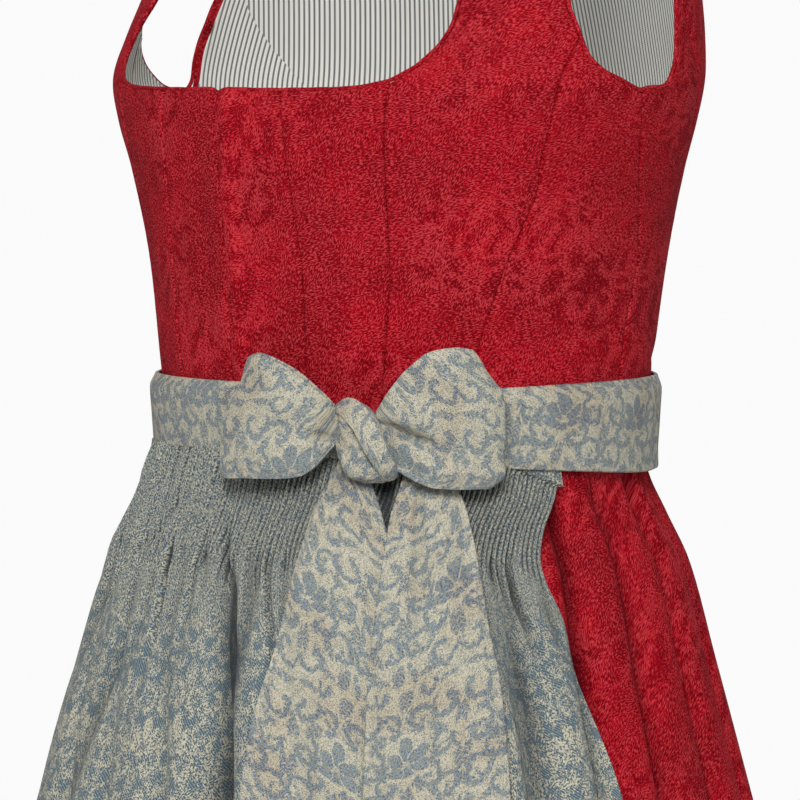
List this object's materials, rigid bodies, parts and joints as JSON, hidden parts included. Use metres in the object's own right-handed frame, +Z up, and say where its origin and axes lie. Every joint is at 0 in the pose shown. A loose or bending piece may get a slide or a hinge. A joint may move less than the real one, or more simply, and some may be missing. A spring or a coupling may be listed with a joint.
{
  "type": "dirndl dress with apron",
  "caption": "Worn-form dirndl: fitted square-neck bodice with wide straps, gathered skirt, cartridge-pleated apron and a tie band knotted in a bow at the front.",
  "frame": {"origin": "midway between the two shoulder seams, where the wearer's shoulders hold the dress", "axes": "+Z up, the wearer faces -Y, the wearer's left is +X"},
  "size_m": [0.6233, 0.6102, 1.0202],
  "materials": {
    "bodice_jacquard": "matt red tone-on-tone jacquard",
    "skirt_jacquard": "matt red tone-on-tone jacquard",
    "lining_pinstripe": "matt cotton with fine upright stripes",
    "apron_jacquard": "soft-sheen blue jacquard with cream scrolls",
    "tie_jacquard": "soft-sheen cream jacquard with blue scrolls"
  },
  "bodies": {
    "root": {"front_centre_left": "bodice_jacquard", "front_middle_left": "bodice_jacquard", "front_bust_left": "bodice_jacquard", "side_front_left": "bodice_jacquard", "side_back_left": "bodice_jacquard", "back_left": "bodice_jacquard", "lining_side_left": "lining_pinstripe", "lining_back_left": "lining_pinstripe", "neck_piping_left": "bodice_jacquard", "armhole_piping_left": "bodice_jacquard", "skirt_front_left": "skirt_jacquard", "skirt_side_left": "skirt_jacquard", "skirt_back_left": "skirt_jacquard", "bow_loop_left": "tie_jacquard", "bow_tail_left": "tie_jacquard", "front_centre_right": "bodice_jacquard", "front_middle_right": "bodice_jacquard", "front_bust_right": "bodice_jacquard", "side_front_right": "bodice_jacquard", "side_back_right": "bodice_jacquard", "back_right": "bodice_jacquard", "lining_side_right": "lining_pinstripe", "lining_back_right": "lining_pinstripe", "neck_piping_right": "bodice_jacquard", "armhole_piping_right": "bodice_jacquard", "skirt_front_right": "skirt_jacquard", "skirt_side_right": "skirt_jacquard", "skirt_back_right": "skirt_jacquard", "bow_loop_right": "tie_jacquard", "bow_tail_right": "tie_jacquard", "apron": "apron_jacquard", "apron_waistband": "tie_jacquard", "tie_under": "tie_jacquard", "tie_left": "tie_jacquard", "tie_back": "tie_jacquard", "tie_right": "tie_jacquard", "bow_knot": "tie_jacquard"}
  },
  "joints": []
}
